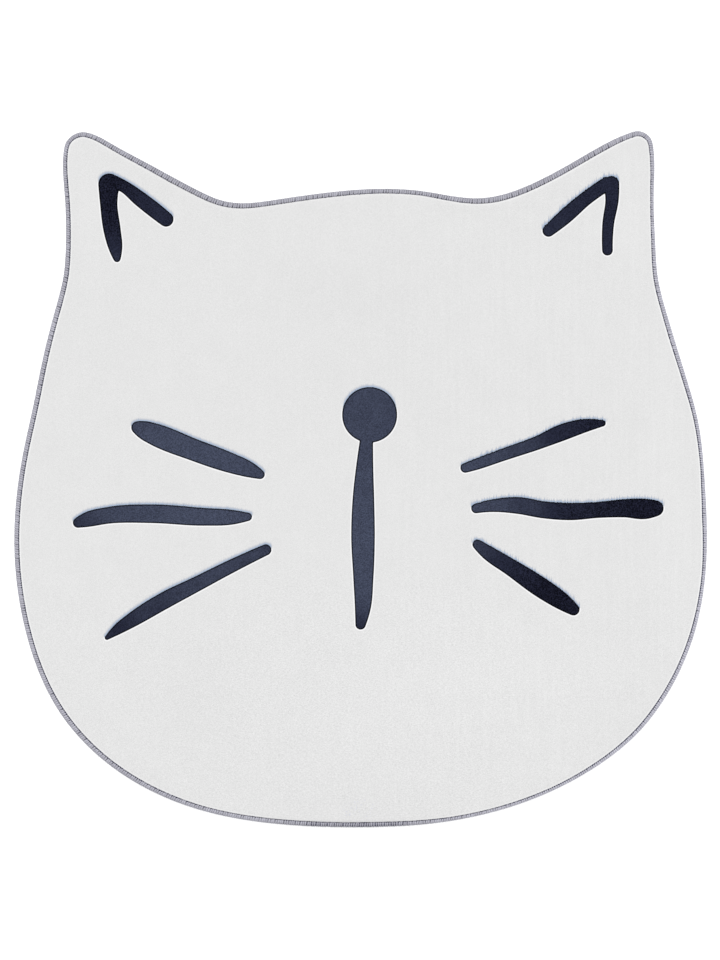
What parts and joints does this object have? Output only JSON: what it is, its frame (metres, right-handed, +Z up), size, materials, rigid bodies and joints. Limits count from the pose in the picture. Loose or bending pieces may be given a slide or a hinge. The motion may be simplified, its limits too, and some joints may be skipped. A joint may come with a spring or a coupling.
{
  "type": "animal shaped kids rug",
  "caption": "Flat floor rug cut in the outline of an animal's head with ears, with short printed pile and a yarn-overlocked edge.",
  "frame": {"origin": "middle of the bounding box at floor level, under the middle of the rug", "axes": "+Z up out of the pile, +Y from the chin towards the ears, +X to the right as seen from above with the ears at the top"},
  "size_m": [0.995, 1, 0.007],
  "materials": {
    "printed_pile": "short velvety pile, near white, printed with dark navy strokes",
    "edge_yarn": "matt overlocked yarn, grey with a touch of lilac"
  },
  "bodies": {
    "root": {"rug_cloth": "printed_pile", "overlocked_edge": "edge_yarn"}
  },
  "joints": []
}
